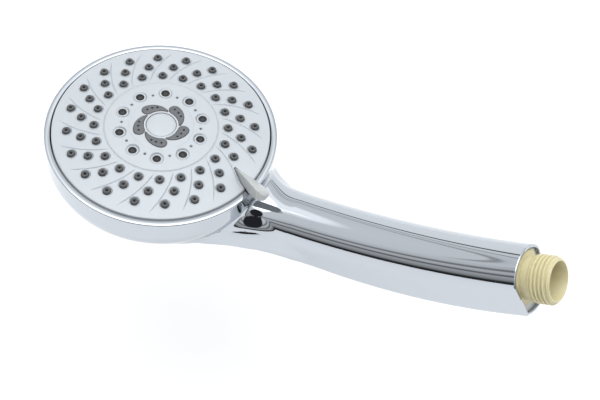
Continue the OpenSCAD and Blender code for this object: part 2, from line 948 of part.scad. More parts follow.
module divider() {
    sunk = 0.2;         // the walls start inside the floor
    wall_top = mat_base - hair;
    walls = [[45.4, skirt_in - ring_gap], [rib_in, rib_out], [14, 15.4]];
    post_gap = 0.5;
    post_seat_h = 1;
    screw_hole_r = 0.9;
    screw_seat_r = 1.7;
    screw_seat_h = 1.1;
    peg_gap = 0.1;
    color(white_plastic) row()
        difference() {
            union() {
                translate([0, 0, divider_base])
                    cylinder(r = skirt_in - ring_gap, h = chamber_base - divider_base);
                for (w = walls)
                    translate([0, 0, chamber_base - sunk])
                        difference() {
                            cylinder(r = w[1], h = wall_top - chamber_base + sunk);
                            translate([0, 0, -cut])
                                cylinder(r = w[0], h = clear);
                        }
            }
            for (p = passages)
                rotate(-click_angle * p[1])
                    translate([p[0], 0, divider_base - cut])
                        cylinder(r = passage_r, h = clear, $fn = small_fn);
            translate([0, 0, divider_base - cut])
                cylinder(r = shank_hole_r, h = clear, $fn = 32);
            translate([0, 0, divider_base - cut])
                cylinder(r = post_r + post_gap, h = post_seat_h + cut);
            for (k = [0:4])
                rotate(plate_screw_a + pad_step * k)
                    translate([screw_ring, 0, divider_base - cut]) {
                        cylinder(r = screw_hole_r, h = clear, $fn = small_fn);
                        cylinder(r = screw_seat_r, h = screw_seat_h + cut, $fn = small_fn);
                    }
            for (a = [90, 270])
                rotate(a)
                    translate([peg_circle, 0, divider_base - cut])
                        cylinder(r = peg_r + peg_gap, h = cut + peg_h + 4 * hair, $fn = small_fn);
        }
}

module plate_screws() {
    screw_head_r = 1.6;
    screw_head_h = 1;
    thread = 0.75;      // radius of the screw's thread
    reach = 7;
    color(steel) row()
        for (k = [0:4])
            rotate(plate_screw_a + pad_step * k)
                translate([screw_ring, 0, divider_base + hair]) {
                    cylinder(r = screw_head_r, h = screw_head_h, $fn = small_fn);
                    cylinder(r = thread, h = reach, $fn = small_fn);
                }
}

module rotor() {
    rotor_r = 32;
    channel_depth = 2;
    channel_w = 2.8;
    inlet_r = 1.6;
    dimple_gap = 0.2;
    color(white_plastic) row()
        difference() {
            union() {
                translate([0, 0, rotor_base])
                    cylinder(r = rotor_r, h = divider_base - rotor_base - hair);
                for (a = [90, 270])
                    rotate(a)
                        translate([peg_circle, 0, divider_base - cut])
                            cylinder(r = peg_r, h = cut + peg_h, $fn = small_fn);
            }
            translate([0, 0, rotor_base - cut])
                cylinder(r = post_r + hair, h = clear);
            for (p = passages)
                rotate(-click_angle * p[1]) {
                    translate([port_r, 0, rotor_base - cut])
                        cylinder(r = inlet_r, h = clear, $fn = small_fn);
                    translate([min(port_r, p[0]), -channel_w / 2, divider_base - channel_depth])
                        cube([abs(port_r - p[0]), channel_w, channel_depth + cut]);
                    translate([p[0], 0, divider_base - channel_depth])
                        cylinder(r = passage_r, h = channel_depth + cut, $fn = small_fn);
                }
            for (k = [0:2])
                rotate(180 - click_angle * k)
                    translate([detent_r, 0, ball_z + ball_rise])
                        sphere(r = ball_r + dimple_gap, $fn = 48);
        }
}

module turbine() {
    float = 0.3;        // gap under the turbine
    core_r = 6;
    height = 1.9;
    disc_radius = 12.6;
    disc_h = 0.6;
    blades = 9;
    blade_from = 5;
    blade_len = 7.4;
    blade_w = 0.8;
    hub_gap = 0.06;
    vent_r = 1.6;
    vent_circle = 9.3;
    vents = [20, 100, 180];
    color(white_plastic) row()
        translate([0, 0, chamber_base + float])
            difference() {
                union() {
                    cylinder(r = core_r, h = height);
                    cylinder(r = disc_radius, h = disc_h);
                    for (k = [0:blades - 1])
                        rotate(360 / blades * k)
                            translate([blade_from, -blade_w / 2, 0])
                                cube([blade_len, blade_w, height]);
                }
                translate([0, 0, -cut])
                    cylinder(r = hub_r + hub_gap, h = clear);
                for (a = vents)
                    rotate(a)
                        translate([vent_circle, 0, -cut])
                            cylinder(r = vent_r, h = clear, $fn = small_fn);
            }
}

body_shell();
inlet_tube();
tube_orings();
manifold();
manifold_screws();
port_seal();
port_spring();
detent_ball();
detent_spring();
post_oring();
centre_screw();
screw_washer();
face_plate();
selector_lever();
nozzle_mat();
jet_ring();
massage_pads();
centre_cap();
divider();
plate_screws();
rotor();
turbine();
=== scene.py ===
"""Looks of a handheld shower head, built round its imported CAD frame."""

import json
import math

import bpy
import numpy as np
from mathutils import Matrix, Vector


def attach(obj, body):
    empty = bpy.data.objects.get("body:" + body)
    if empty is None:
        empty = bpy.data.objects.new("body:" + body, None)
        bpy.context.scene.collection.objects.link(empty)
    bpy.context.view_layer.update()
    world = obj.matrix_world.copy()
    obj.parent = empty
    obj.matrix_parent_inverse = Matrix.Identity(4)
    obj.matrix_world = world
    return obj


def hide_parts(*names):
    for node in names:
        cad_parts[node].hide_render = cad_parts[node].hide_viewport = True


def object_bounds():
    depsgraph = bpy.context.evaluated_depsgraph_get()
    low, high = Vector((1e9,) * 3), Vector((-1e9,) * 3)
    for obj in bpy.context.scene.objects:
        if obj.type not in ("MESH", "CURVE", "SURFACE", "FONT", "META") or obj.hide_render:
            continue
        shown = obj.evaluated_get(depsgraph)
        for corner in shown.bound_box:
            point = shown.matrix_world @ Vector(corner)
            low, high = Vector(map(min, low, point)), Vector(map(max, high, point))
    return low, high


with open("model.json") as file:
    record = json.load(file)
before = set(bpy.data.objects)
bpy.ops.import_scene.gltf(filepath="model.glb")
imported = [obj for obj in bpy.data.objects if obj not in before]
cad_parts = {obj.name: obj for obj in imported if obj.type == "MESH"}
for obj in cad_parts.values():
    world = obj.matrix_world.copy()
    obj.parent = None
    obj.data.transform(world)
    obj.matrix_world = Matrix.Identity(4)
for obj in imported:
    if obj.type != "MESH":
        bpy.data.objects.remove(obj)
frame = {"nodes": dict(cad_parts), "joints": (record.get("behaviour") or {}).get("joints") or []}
cad_lo, cad_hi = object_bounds()

# ---- design frame: millimetres, origin at the middle of the spray face, +Z its normal ----
HINGE = next(j for j in frame["joints"] if j["name"] == "spray_selector")
MM = 0.001
HINGE_DEPTH = 10.0      # the hinge stands this far behind the spray face, in millimetres
FACE = np.array(HINGE["pos_m"]) + np.array([0, 0, HINGE_DEPTH * MM])


def row(points):
    """Design millimetres to the row frame's metres."""
    return np.asarray(points, float) * MM + FACE


# ---- numbers shared with the CAD, in millimetres ----
HEAD_R, HEAD_DEPTH, RIM_Z = 52.4, 36.0, -4.4
DOME_R, DOME_TOP = 266.0, 0.68
WALL_START, BACK_POWER = -13.0, 0.7
BEND_R, TILT, END_X, END_Z = 430.0, math.radians(27), 178.7, 14.3
ARCH_R, WALL, CUP_R, PLATE_R, PLATE_BASE = 14.0, 2.5, 49.7, 49.1, -6.0
# the handle's section along its arc length, from the inlet to the head
TAPER_LENGTH, NECK_START, NECK_LENGTH = 127.0, 112.0, 26.0
BELLY_START, BELLY_LENGTH, BELLY_LIFT, BELLY_POWER = 130.0, 25.0, 9.0, 1.5
RIDGE_RISE, RIDGE_POWER, RIDGE_HALF, TROUGH_DEPTH = 10.5, 2.3, 11.0, 4.0
CREASE_END, CREASE_DROP, SIDE_DRAFT = 5.6, 4.4, 1.8
DEPTH_END, DEEPENING, THINNING = 13.1, 8.6, 12.0
CORNER_R, CORNER_GROWTH, BULGE = 1.5, 6.5, 3.5
# the neck's run into the head's side and underside
FILLET_TOP, FILLET_LOW, FILLET_FROM, FILLET_BLEND = 18.0, 80.0, -16.0, 14.0
FAIRING_R, FAIRING_FROM, FAIRING_BLEND = 49.5, 20.0, 22.0
OUT = 13.0              # from the handle's end to the thread's open end
END_DIR = np.array([math.cos(TILT), 0, math.sin(TILT)])
CX = END_X - BEND_R * math.sin(TILT)
CZ = END_Z + BEND_R * math.cos(TILT)
SEAM = 96.0             # arc length at which the handle's mesh passes into the head's
SEAM_LAP = 2.0          # the head's mesh runs this far into the handle's
HANDLE_LAP = 6.0        # and the handle's this far into the head's
HANDLE_STOP = 160.0     # the handle's shape ends inside the head
HIDDEN = 0.06           # the head's mesh keeps this far under the handle's where they lap
TINY = 1e-9


def dome(r):
    return DOME_TOP - r * r / (2 * DOME_R)


def clamp01(t):
    return np.clip(t, 0, 1)


def smooth01(t):
    t = clamp01(t)
    return t * t * (3 - 2 * t)


def round_max(a, b, r):
    """Intersection of two near-distances with its edge rounded to radius r."""
    u, v = np.maximum(a + r, 0), np.maximum(b + r, 0)
    return np.minimum(np.maximum(a, b) + r, 0) + np.hypot(u, v) - r


def round_min(a, b, r):
    return -round_max(-a, -b, r)


def head_r(z):
    u = clamp01((WALL_START - z) / (HEAD_DEPTH + WALL_START))
    return HEAD_R * np.power(np.maximum(1 - u * u, TINY), BACK_POWER / 2)


HEAD_SCALE = 30.0       # turns the head's formula into millimetres, roughly


def head_field(x, y, z):
    r = np.hypot(x, y)
    u = np.maximum((WALL_START - z) / (HEAD_DEPTH + WALL_START), 0)
    g = np.sqrt(np.power(r / HEAD_R + TINY, 2 / BACK_POWER) + u * u) - 1
    return g * HEAD_SCALE


def handle_values(s):
    """The neck's share, then the crease's height and half width, the top and the depth at s."""
    taper = clamp01(s / TAPER_LENGTH)
    neck = clamp01((s - NECK_START) / NECK_LENGTH)
    belly = clamp01((s - BELLY_START) / BELLY_LENGTH)
    h = CREASE_END - CREASE_DROP * taper
    w = np.sqrt(ARCH_R**2 - h * h)
    top = ARCH_R + RIDGE_RISE * np.power(neck, RIDGE_POWER)
    d = DEPTH_END + DEEPENING * taper - THINNING * taper**2 - BELLY_LIFT * np.power(belly, BELLY_POWER)
    return neck, h, w, top, d


NECK_TUCK = 0.02        # the neck's round keeps this far inside the head's


def neck_w(x, z, b):
    """Half width of the neck, whose plain half width is b, as it runs out into the head."""
    fillet = FILLET_TOP + (FILLET_LOW - FILLET_TOP) * clamp01((FILLET_FROM - z) / FILLET_BLEND)
    own = head_r(z) - NECK_TUCK
    r = np.maximum(own, own + (FAIRING_R - own) * smooth01((x - FAIRING_FROM) / FAIRING_BLEND))
    r = np.maximum(r, b)
    yc = b + fillet
    xc = np.sqrt((r + fillet) ** 2 - yc * yc)
    touch = xc * r / (r + fillet)
    inside = np.sqrt(np.maximum(r * r - x * x, 1))
    arc = yc - np.sqrt(np.maximum(fillet**2 - (x - xc) ** 2, 0))
    return np.where(x >= xc, b, np.where(x <= touch, np.maximum(inside, b), arc))


CRISP, SOFT = 0.5, 1.5  # radius of the crease, and how much it gains towards the neck
SOFT_FROM, SOFT_LENGTH = 90.0, 30.0


def section_field(y, n, s, inset=0.0, crisp=CRISP):
    """Near-distance to the handle's section at arc length s; y across it and n above the spine."""
    neck, h, w, top, d = handle_values(s)
    ay = np.abs(y)
    circle = np.where(n > 0, np.hypot(ay, n), ay) - ARCH_R
    q = np.maximum(0, 1 - (y / RIDGE_HALF) ** 2)
    lifted = n + TROUGH_DEPTH * neck * q * q
    oval = (np.hypot(ay / w, np.maximum(lifted - h, 0) / (top - h)) - 1) * w
    arch = circle * (1 - neck) + oval * neck
    bw = w - SIDE_DRAFT
    side = (ay - (bw + (w - bw) * (n + d) / (h + d)))
    corner = CORNER_R + CORNER_GROWTH * neck
    v = clamp01(ay / np.maximum(bw - corner, 1))
    base = -n - d - BULGE * (1 - v * v)
    lower = round_max(side, base, corner)
    return round_max(arch, lower, crisp) + inset


def spine(x, z):
    """Arc length from the inlet along the handle's spine, and the height above it."""
    dx, dz = x - CX, CZ - z
    a = np.arctan2(dx, dz)
    return (TILT - a) * BEND_R, BEND_R - np.hypot(dx, dz)


def handle_field(x, y, z, inset=0.0):
    s, n = spine(x, z)
    w = handle_values(s)[2]
    crisp = CRISP + SOFT * smooth01((s - SOFT_FROM) / SOFT_LENGTH)
    return section_field(y * w / neck_w(x, z, w), n, s, inset, crisp)


HIDE_BLEND = 4.0        # arc length over which the head's mesh rises to the true surface
JOIN_R = 1.0            # round where the neck meets the head


def outer_field(x, y, z):
    s = spine(x, z)[0]
    hidden = HIDDEN * (1 - smooth01((s - SEAM) / HIDE_BLEND))
    handle = np.maximum(handle_field(x, y, z) + hidden, s - HANDLE_STOP)
    return round_min(head_field(x, y, z), handle, JOIN_R)


CUP_FLOOR = -40.0       # lower than the whole cup
DUCT_TOP, DUCT_STOP = 12.0, 150.0       # where the handle's hollow stops, above and along the spine
# the cup inside the head, from its wall to its floor, as radius and height
CUP = [(CUP_R, -14.0), (45.0, -22.5), (38.0, -27.5), (30.0, -30.5), (0.0, -32.5)]


def cup_field(x, y, z):
    r = np.hypot(x, y)
    f = np.maximum(r - CUP_R, CUP_FLOOR - z)
    for (r0, z0), (r1, z1) in zip(CUP, CUP[1:]):
        n = np.array([-(z1 - z0), (r1 - r0)])
        n = n / np.hypot(*n)
        f = np.maximum(f, (r - r0) * n[0] + (z - z0) * n[1])
    return f


def cavity_field(x, y, z):
    s, n = spine(x, z)
    duct = np.maximum(np.maximum(handle_field(x, y, z, WALL), n - DUCT_TOP), s - DUCT_STOP)
    return np.minimum(cup_field(x, y, z), duct)


RIM_BAND = 0.7          # the rim's own piece stands this much above the head's mesh


def shell_field(x, y, z):
    s = spine(x, z)[0]
    f = np.maximum(outer_field(x, y, z), -cavity_field(x, y, z))
    return np.maximum(np.maximum(f, z - (RIM_Z - RIM_BAND)), SEAM - SEAM_LAP - s)


# ---- meshes ----
def surface_net(field, lo, hi, cell):
    """Closed quad mesh of field < 0 with one vertex in each cell that the surface crosses."""
    axes = [np.arange(a, b + cell, cell) for a, b in zip(lo, hi)]
    nx, ny, nz = (len(a) for a in axes)
    f = np.empty((nx, ny, nz))
    ys, zs = np.meshgrid(axes[1], axes[2], indexing="ij")
    for i, x in enumerate(axes[0]):
        f[i] = field(np.full((ny, nz), x), ys, zs)
    inside = f < 0
    total = np.zeros((nx - 1, ny - 1, nz - 1, 3))
    count = np.zeros((nx - 1, ny - 1, nz - 1))
    edges = []
    for axis in range(3):
        a = np.take(f, range(0, f.shape[axis] - 1), axis)
        b = np.take(f, range(1, f.shape[axis]), axis)
        cross = (a < 0) != (b < 0)
        idx = np.argwhere(cross)
        t = a[cross] / (a[cross] - b[cross])
        p = np.stack([axes[k][idx[:, k]] for k in range(3)], 1)
        p[:, axis] += t * cell
        o1, o2 = [k for k in range(3) if k != axis]
        quads = []
        for d1, d2 in ((0, 0), (-1, 0), (-1, -1), (0, -1)):
            c = idx.copy()
            c[:, o1] += d1
            c[:, o2] += d2
            np.add.at(total, (c[:, 0], c[:, 1], c[:, 2]), p)
            np.add.at(count, (c[:, 0], c[:, 1], c[:, 2]), 1)
            quads.append(c)
        flip = (a[cross] < 0) == (axis != 1)
        edges.append((quads, flip))
    used = count > 0
    number = np.full(count.shape, -1)
    number[used] = np.arange(used.sum())
    verts = total[used] / count[used][:, None]
    faces = []
    for quads, flip in edges:
        q = np.stack([number[c[:, 0], c[:, 1], c[:, 2]] for c in quads], 1)
        q[~flip] = q[~flip][:, ::-1]
        faces.append(q)
    return verts, np.concatenate(faces)


def gradient(field, p, e=0.01):
    """Slope of the field at each point, by central differences of e millimetres."""
    g = np.empty_like(p)
    for k in range(3):
        d = np.zeros(3)
        d[k] = e
        g[:, k] = (field(*(p + d).T) - field(*(p - d).T)) / (2 * e)
    return g


def settle(field, p, rounds=4, most=0.5):
    """Points moved on to the field's surface, by Newton steps that are never longer than most."""
    for _ in range(rounds):
        g = gradient(field, p)
        step = field(*p.T) / np.maximum((g * g).sum(1), 1e-3)
        p = p - np.clip(step, -most, most)[:, None] * g
    return p


def new_object(name, verts_mm, faces, material, body, normals=None, angle=30, replaces=()):
    """A visible piece: its mesh in the row frame, smooth but for edges sharper than angle."""
    mesh = bpy.data.meshes.new(name)
    mesh.from_pydata(row(verts_mm).tolist(), [], [list(map(int, f)) for f in faces])
    mesh.validate()
    mesh.update()
    mesh.materials.append(material)
    mesh.polygons.foreach_set("use_smooth", [True] * len(mesh.polygons))
    o = bpy.data.objects.new(name, mesh)
    bpy.context.scene.collection.objects.link(o)
    if normals is not None:
        mesh.normals_split_custom_set_from_vertices(normals.tolist())
    else:
        mesh.set_sharp_from_angle(angle=math.radians(angle))
    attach(o, body)
    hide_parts(*replaces)


def lathe(profile, segments=96):
    """Closed solid of revolution about +Z from a closed (r, z) profile, counter-clockwise."""
    n = len(profile)
    verts, faces = [], []
    pole = {}
    ids = []
    for j, (r, z) in enumerate(profile):
        ring = []
        for i in range(segments):
            if r < TINY:
                if j not in pole:
                    pole[j] = len(verts)
                    verts.append((0, 0, z))
                ring.append(pole[j])
            else:
                a = 2 * math.pi * i / segments
                ring.append(len(verts))
                verts.append((r * math.cos(a), r * math.sin(a), z))
        ids.append(ring)
    for j in range(n):
        a, b = ids[j], ids[(j + 1) % n]
        for i in range(segments):
            k = (i + 1) % segments
            quad = [a[i], a[k], b[k], b[i]]
            clean = []
            for q in quad:
                if q not in clean:
                    clean.append(q)
            if len(clean) > 2:
                faces.append(clean)
    return np.array(verts, float), faces


def on_inlet(v):
    """Local points with +Z along the inlet's axis, from the handle's end plane."""
    x_axis = np.array([math.sin(TILT), 0, -math.cos(TILT)])
    y_axis = np.array([0, 1.0, 0])
    end = np.array([END_X, 0, END_Z])
    return end + v[:, :1] * x_axis + v[:, 1:2] * y_axis + v[:, 2:3] * END_DIR


def join(parts):
    """Several (points, faces) solids as one."""
    verts, faces, base = [], [], 0
    for v, f in parts:
        verts.append(np.asarray(v, float))
        faces += [[int(i) + base for i in q] for q in f]
        base += len(v)
    return np.concatenate(verts), faces


def prism(outline, z0, z1):
    """An (x, y) outline drawn straight up from z0 to z1."""
    n = len(outline)
    v = [(x, y, z0) for x, y in outline] + [(x, y, z1) for x, y in outline]
    f = [list(range(n - 1, -1, -1)), list(range(n, 2 * n))]
    f += [[i, (i + 1) % n, n + (i + 1) % n, n + i] for i in range(n)]
    return np.array(v, float), f


def raw_object(name, verts_mm, faces):
    """A helper object in design millimetres, which carve deletes again."""
    mesh = bpy.data.meshes.new(name)
    mesh.from_pydata(np.asarray(verts_mm, float).tolist(), [], [list(map(int, f)) for f in faces])
    mesh.validate()
    mesh.update()
    o = bpy.data.objects.new(name, mesh)
    bpy.context.scene.collection.objects.link(o)
    return o


def carve(verts, faces, cuts):
    """The solid less each of the cutters, in design millimetres."""
    base = raw_object("carve_base", verts, faces)
    made = []
    for i, (cv, cf) in enumerate(cuts):
        c = raw_object(f"carve_cut_{i}", cv, cf)
        m = base.modifiers.new(f"cut{i}", "BOOLEAN")
        m.operation, m.object, m.solver = "DIFFERENCE", c, "EXACT"
        made.append(c)
    bpy.context.view_layer.update()
    dg = bpy.context.evaluated_depsgraph_get()
    mesh = bpy.data.meshes.new_from_object(base.evaluated_get(dg))
    v = np.array([x.co[:] for x in mesh.vertices])
    f = [list(p.vertices) for p in mesh.polygons]
    for o in made + [base]:
        d = o.data
        bpy.data.objects.remove(o)
        bpy.data.meshes.remove(d)
    bpy.data.meshes.remove(mesh)
    return v, f


# ---- materials ----
COAT_ROUGH = 0.08
SCATTER = (0.004, 0.003, 0.0015)    # how far light runs in the cream plastic, in metres


def material(name, color, rough, metallic=0.0, coat=0.0, sub=0.0):
    m = bpy.data.materials.new(name)
    m.use_nodes = True
    n = m.node_tree.nodes
    b = n["Principled BSDF"]
    b.inputs["Base Color"].default_value = (*color, 1)
    b.inputs["Roughness"].default_value = rough
    b.inputs["Metallic"].default_value = metallic
    b.inputs["Coat Weight"].default_value = coat
    b.inputs["Coat Roughness"].default_value = COAT_ROUGH
    if sub:
        b.inputs["Subsurface Weight"].default_value = sub
        b.inputs["Subsurface Radius"].default_value = SCATTER
    return m, m.node_tree, b


GRAIN_DETAIL, GRAIN_LOW, GRAIN_HIGH = 4, 0.3, 0.7
TINT_SCALE = 0.06       # the scale of the tint's noise, as a share of the grain's
FINE = 0.00005          # bump height of fine rubber and plastic, in metres


def grain(tree, b, scale, bump, rough=(0.3, 0.4), tint=None, distance=0.0002):
    """Fine noise that drives the roughness, a small bump and a slight change of tint."""
    n, l = tree.nodes, tree.links
    co = n.new("ShaderNodeTexCoord")
    noise = n.new("ShaderNodeTexNoise")
    noise.inputs["Scale"].default_value = scale
    noise.inputs["Detail"].default_value = GRAIN_DETAIL
    l.new(co.outputs["Object"], noise.inputs["Vector"])
    ramp = n.new("ShaderNodeMapRange")
    ramp.inputs["From Min"].default_value = GRAIN_LOW
    ramp.inputs["From Max"].default_value = GRAIN_HIGH
    ramp.inputs["To Min"].default_value, ramp.inputs["To Max"].default_value = rough
    l.new(noise.outputs["Fac"], ramp.inputs["Value"])
    l.new(ramp.outputs["Result"], b.inputs["Roughness"])
    if bump:
        bn = n.new("ShaderNodeBump")
        bn.inputs["Strength"].default_value = bump
        bn.inputs["Distance"].default_value = distance
        l.new(noise.outputs["Fac"], bn.inputs["Height"])
        l.new(bn.outputs["Normal"], b.inputs["Normal"])
    if tint:
        big = n.new("ShaderNodeTexNoise")
        big.inputs["Scale"].default_value = scale * TINT_SCALE
        l.new(co.outputs["Object"], big.inputs["Vector"])
        mix = n.new("ShaderNodeMix")
        mix.data_type = "RGBA"
        mix.inputs["A"].default_value = b.inputs["Base Color"].default_value[:]
        mix.inputs["B"].default_value = (*tint, 1)
        l.new(big.outputs["Fac"], mix.inputs["Factor"])
        l.new(mix.outputs["Result"], b.inputs["Base Color"])


def make_materials():
    mats = {}
    m, t, b = material("chrome_plating", (0.485, 0.515, 0.553), 0.035, metallic=1)
    grain(t, b, 900, 0.0, (0.02, 0.05))
    mats["chrome"] = m
    m, t, b = material("face_plate_silver", (0.455, 0.485, 0.51), 0.45, metallic=0.1, coat=0.05)
    grain(t, b, 2600, 0.05, (0.42, 0.5), (0.43, 0.455, 0.485), FINE)
    mats["plate"] = m
    m, t, b = material("lever_grey", (0.43, 0.445, 0.445), 0.4, metallic=0.05, coat=0.05)
    grain(t, b, 2400, 0.05, (0.36, 0.44), (0.41, 0.425, 0.425), FINE)
    mats["lever"] = m
    m, t, b = material("nozzle_rubber_grey", (0.06, 0.062, 0.064), 0.5)
    grain(t, b, 3000, 0.1, (0.42, 0.55), (0.08, 0.083, 0.086), FINE)
    mats["nozzle"] = m
    m, t, b = material("pad_rubber_grey", (0.095, 0.1, 0.107), 0.5)
    grain(t, b, 3000, 0.1, (0.4, 0.52), (0.11, 0.115, 0.123), FINE)
    mats["pad"] = m
    m, t, b = material("inlet_cream", (0.585, 0.52, 0.305), 0.4, sub=0.15)
    grain(t, b, 700, 0.1, (0.32, 0.46), (0.59, 0.55, 0.35), 0.0001)
    mats["cream"] = m
    m, t, b = material("web_grey", (0.45, 0.46, 0.46), 0.4, metallic=0.6)
    grain(t, b, 1800, 0.6, (0.3, 0.6), (0.6, 0.6, 0.58), 0.0004)
    mats["web"] = m
    m, t, b = material("seal_black", (0.03, 0.03, 0.03), 0.5)
    grain(t, b, 1500, 0.1, (0.4, 0.6))
    mats["seal"] = m
    m, t, b = material("inner_white", (0.78, 0.78, 0.75), 0.5)
    grain(t, b, 1200, 0.1, (0.4, 0.55))
    mats["inner"] = m
    # near-black, for the divider and the rotor, and as painted shade at the bottom of the jets
    m, t, b = material("inner_dark_and_hole_shade", (0.022, 0.022, 0.023), 0.5)
    grain(t, b, 1200, 0.1, (0.45, 0.6))
    mats["dark"] = m
    m, t, b = material("bright_steel", (0.6, 0.6, 0.62), 0.25, metallic=1)
    grain(t, b, 1500, 0.05, (0.2, 0.32))
    mats["steel"] = m
    return mats


MAT = make_materials()


# ---- chrome shell ----
NET_REACH = HEAD_R + 2.3
NET_LOW, NET_HIGH, NET_END = -42.3, -1.0, 104.0
CELL, QUICK_CELL = 0.8, 1.4
CUT_MARGIN = 0.6        # in cells: nearer than this to a cut, a point stays where the net put it


def build_shell():
    """The head and neck, as a net over the shape's formula that is then settled on to it."""
    lo = np.array([-NET_REACH, -NET_REACH, NET_LOW])
    hi = np.array([NET_END, NET_REACH, NET_HIGH])
    cell = CELL
    v, f = surface_net(shell_field, lo, hi, cell)
    near_outer = np.abs(outer_field(*v.T)) < np.abs(cavity_field(*v.T))
    w = v[near_outer]
    below_rim = w[:, 2] < RIM_Z - RIM_BAND - cell * CUT_MARGIN
    past_seam = spine(w[:, 0], w[:, 2])[0] > SEAM - SEAM_LAP + cell * CUT_MARGIN
    free = below_rim & past_seam
    settled = settle(outer_field, w)
    w[free] = settled[free]
    v[near_outer] = w
    normals = gradient(shell_field, v)
    g = gradient(outer_field, v)
    normals[near_outer] = g[near_outer]
    normals /= np.maximum(np.linalg.norm(normals, axis=1), TINY)[:, None]
    new_object("shell_head", v, f, MAT["chrome"], "handset",
               normals=normals, replaces=["body_shell"])


HALVINGS = 40           # of the search for the outline along each ray
FAR = 40.0              # a distance outside every section
CREASE_RAYS, CREASE_STEP = 3, 0.012     # more rays on either side of each crease


def section_ring(s, inset, count=180):
    """Points of the section's outline at arc length s, by bisection along rays from the spine."""
    a = np.linspace(0, 2 * math.pi, count, endpoint=False)
    _, h, w, _, _ = handle_values(np.array(float(s)))
    crease = math.atan2(float(h), float(w))
    near = [k * CREASE_STEP for k in range(-CREASE_RAYS, CREASE_RAYS + 1)]
    a = np.sort(np.concatenate([a, [crease + k for k in near], [math.pi - crease + k for k in near]]))
    a0, a1 = np.zeros(len(a)), np.full(len(a), FAR)
    for _ in range(HALVINGS):
        m = (a0 + a1) / 2
        inside = section_field(m * np.cos(a), m * np.sin(a), float(s), inset) < 0
        a0, a1 = np.where(inside, m, a0), np.where(inside, a1, m)
    return np.stack([a0 * np.cos(a), a0 * np.sin(a)], 1)


def place_section(points, s):
    """(y, n) points at arc length s to design millimetres."""
    a = TILT - s / BEND_R
    reach = BEND_R - points[:, 1]
    return np.stack([CX + reach * math.sin(a), points[:, 0], CZ - reach * math.cos(a)], 1)


def stack(rings, close=True):
    """Rings of points joined one to the next, and the last to the first where it closes."""
    n, m = len(rings[0]), len(rings)
    f = []
    for j in range(m if close else m - 1):
        a, b = j * n, ((j + 1) % m) * n
        f += [[a + i, a + (i + 1) % n, b + (i + 1) % n, b + i] for i in range(n)]
    return np.concatenate(rings), f


def capped(rings):
    """Rings of points as a solid with a flat cap on each end."""
    v, f = stack(rings, close=False)
    n = len(rings[0])
    return v, f + [list(range(n - 1, -1, -1)), list(range(len(v) - n, len(v)))]


def flipped(faces):
    return [q[::-1] for q in faces]


END_BEVEL = 0.45        # round the outside of the handle's lower end
END_LIP, END_STEP = 1.3, 3.2            # the wall is this thin at the end, for this far
STATION, INNER_STATION = 2.0, 8.0       # arc length between rings, outside and inside


def build_handle():
    """The handle's tube of rings: (arc length, inset) pairs down the outside, then up the inside."""
    end, last = SEAM + HANDLE_LAP, SEAM + HANDLE_LAP - 0.1
    outer = [(end, 0.0), (last, 0.0)] + [(s, 0.0) for s in np.arange(end - STATION, 1.0, -STATION)]
    outer += [(2 * END_BEVEL, 0.0), (END_BEVEL, 0.0)]
    outer += [(END_BEVEL * 0.6, 0.06), (END_BEVEL * 0.25, 0.2), (0.0, END_BEVEL)]
    inner = [(0.0, END_LIP - 0.2), (0.1, END_LIP - 0.05), (1.2, END_LIP)]
    inner += [(END_STEP - 0.2, END_LIP), (END_STEP, WALL)]
    inner += [(s, WALL) for s in np.arange(INNER_STATION, SEAM, INNER_STATION)]
    inner += [(last, WALL), (end, WALL)]
    v, f = stack([place_section(section_ring(s, i), s) for s, i in outer + inner])
    new_object("shell_handle", v, flipped(f), MAT["chrome"], "handset",
               angle=18, replaces=["body_shell"])


RIM_FOOT = -9.0         # the rim's piece ends here, within the head's wall


def build_rim():
    """The rim round the spray face: a band with a rounded outer edge, a flat top and a small lip."""
    r, cup = HEAD_R + 0.02, CUP_R - 0.05
    profile = [(cup, RIM_FOOT), (r - 0.6, RIM_FOOT), (r, RIM_Z - 1.2), (r, RIM_Z - 0.75)]
    profile += [(r - 0.08, RIM_Z - 0.45), (r - 0.3, RIM_Z - 0.18), (r - 0.62, RIM_Z - 0.03)]
    profile += [(r - 0.9, RIM_Z), (cup + 0.4, RIM_Z), (cup + 0.15, RIM_Z - 0.08)]
    profile += [(cup + 0.03, RIM_Z - 0.3), (cup, RIM_Z - 0.6)]
    v, f = lathe(profile, 256)
    new_object("shell_rim", v, f, MAT["chrome"], "handset",
               angle=25, replaces=["body_shell"])


build_shell()
build_handle()
build_rim()

# ---- spray face ----
SECTOR = 18.0           # degrees between two nozzles of a ring
# radius and angle of each outlet; the outer ring leaves out the one nearest the lever
NOZZLES = [(42.3, -3 + SECTOR * k) for k in range(1, 20)]
NOZZLES += [(36.25, 3.9 + SECTOR * k) for k in range(20)]
NOZZLES += [(30.1, 11.6 + SECTOR * k) for k in range(20)]
JETS = [(19.0, 7 + 2 * SECTOR * k) for k in range(10)]
MISTS = [(17.8, 25 + 2 * SECTOR * k) for k in range(10)]
PADS = [0.1 + 4 * SECTOR * k for k in range(5)]
PAD_HOLES = [(10.6, 13.2), (10.3, 0.0), (10.0, -13.2)]
NOZZLE_R, JET_R, CAP_R = 1.8, 2.7, 6.7
NOZZLE_RISE = 1.2
PIECE_BASE = -7.4       # the pieces seated in the plate begin here, behind its front wall
LEVER_AT, LEVER_TURN, LEVER_LEN = (39.6, -2.4), math.radians(-22), 20.0


def polar(r, deg):
    a = math.radians(deg)
    return np.array([r * math.cos(a), r * math.sin(a), 0.0])


def at(parts, offset):
    v, f = parts
    return v + offset, f


# a comma pad: its inner edge is an arc, and its width grows from the tail to the round head
PAD_IN, PAD_HEAD_AT, PAD_SWEEP = 7.9, 13.0, 59.0
PAD_TAIL, PAD_GROWTH, PAD_POWER = 0.3, 2.25, 1.4
PAD_STEPS, PAD_HEAD_STEPS = 24, 12


def pad_half(a):
    return PAD_TAIL + PAD_GROWTH * (1 - ((PAD_HEAD_AT - a) / PAD_SWEEP) ** PAD_POWER)


